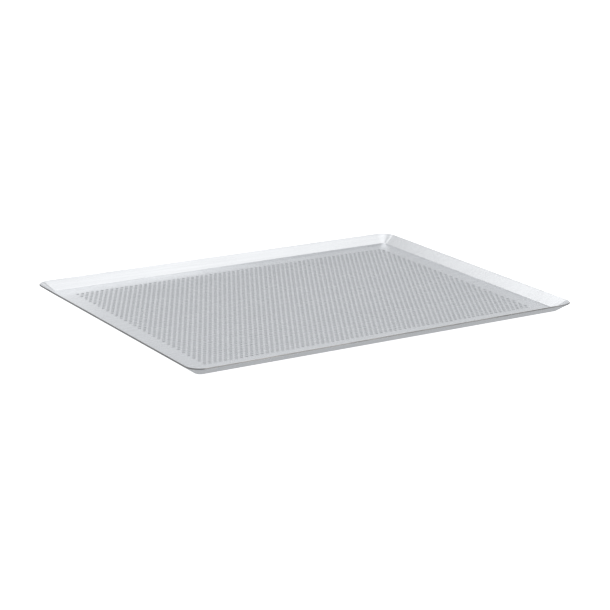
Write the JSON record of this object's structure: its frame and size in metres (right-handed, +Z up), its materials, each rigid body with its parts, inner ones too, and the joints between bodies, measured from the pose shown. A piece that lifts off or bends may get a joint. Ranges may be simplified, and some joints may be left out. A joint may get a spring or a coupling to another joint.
{
  "type": "perforated baking tray",
  "caption": "Flat rectangular baking tray pressed from one aluminium sheet, with a low rim flared outward on all sides and rounded corners.",
  "frame": {"origin": "centre of the tray's outline, on the surface the floor stands on", "axes": "+X along the length, +Y across the width, +Z up out of the tray"},
  "size_m": [0.4, 0.3, 0.0093],
  "materials": {
    "bare_aluminium": "bare rolled aluminium, satin, with a faint grain along the length"
  },
  "bodies": {
    "root": {"tray_sheet": "bare_aluminium"}
  },
  "joints": []
}
